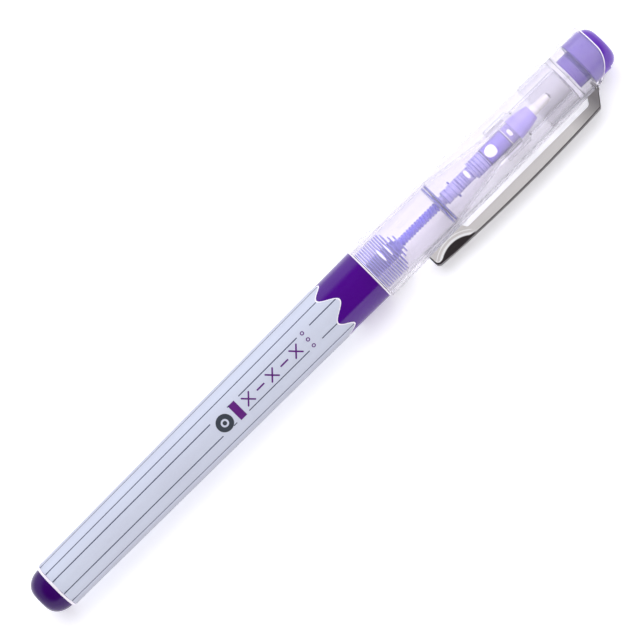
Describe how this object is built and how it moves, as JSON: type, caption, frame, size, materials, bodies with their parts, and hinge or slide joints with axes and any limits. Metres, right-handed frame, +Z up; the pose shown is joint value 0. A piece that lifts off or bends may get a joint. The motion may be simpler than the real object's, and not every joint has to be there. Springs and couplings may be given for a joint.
{
  "type": "fabric marking pen",
  "caption": "Capped liquid-ink marking pen with a ball tip, a striped barrel with a scalloped band, a clear cap and a sprung steel pocket clip.",
  "frame": {"origin": "middle of the pen's footprint on the surface that it lies on", "axes": "+X along the pen from its tail to the crown of the cap, +Z up from the surface, with the clip on the -Y side"},
  "size_m": [0.14, 0.0142, 0.0113],
  "materials": {
    "moulded_purple": "moulded plastic, polished",
    "crown_purple": "moulded plastic, polished",
    "barrel_purple": "moulded plastic, polished",
    "printed_film": "printed film, satin",
    "ink": "liquid ink",
    "clear_grip": "clear plastic, polished",
    "clear_cap": "clear plastic, slightly milky",
    "clear_inner_cap": "clear plastic, slightly milky",
    "comb_lilac": "moulded plastic wetted by ink",
    "feed_fibre": "bonded fibre full of ink",
    "tip_fibre": "bonded fibre full of ink",
    "holder_lilac": "moulded plastic, satin",
    "sleeve_purple": "moulded plastic, polished",
    "ring_violet": "moulded plastic, polished",
    "nose_lavender": "moulded plastic, satin",
    "tip_metal": "turned metal",
    "ball_metal": "ground and polished",
    "clip_steel": "brushed, satin"
  },
  "bodies": {
    "pen": {"barrel": "barrel_purple", "barrel_wrap": "printed_film", "rear_plug": "moulded_purple", "ink_fill": "ink", "grip_section": "clear_grip", "ink_collector": "comb_lilac", "feed_rod": "feed_fibre", "tip_holder": "holder_lilac", "sight_sleeve": "sleeve_purple", "lock_ring": "ring_violet", "nose_cone": "nose_lavender", "tip_tube": "tip_metal", "tip_wick": "tip_fibre"},
    "cap": {"cap_shell": "clear_cap", "inner_cap": "clear_inner_cap", "crown_plug": "crown_purple"},
    "clip": {"pocket_clip": "clip_steel"},
    "ball": {"writing_ball": "ball_metal"}
  },
  "joints": [
    {"name": "cap_pull", "type": "slide", "parent": "pen", "child": "cap", "axis": [1, 0, 0], "range_m": [0, 0.05]},
    {"name": "clip_flex", "type": "hinge", "parent": "cap", "child": "clip", "pos_m": [0.0635, -0.00297, 0.00343], "axis": [0, -0.4457, 0.8952], "range_deg": [0, 4], "stiffness_Nm_per_rad": 0.5, "springref_deg": -1.15},
    {"name": "ball_roll", "type": "hinge", "parent": "pen", "child": "ball", "pos_m": [0.05605, 0.0015, 0.00565], "axis": [0, 1, 0], "continuous": true}
  ]
}
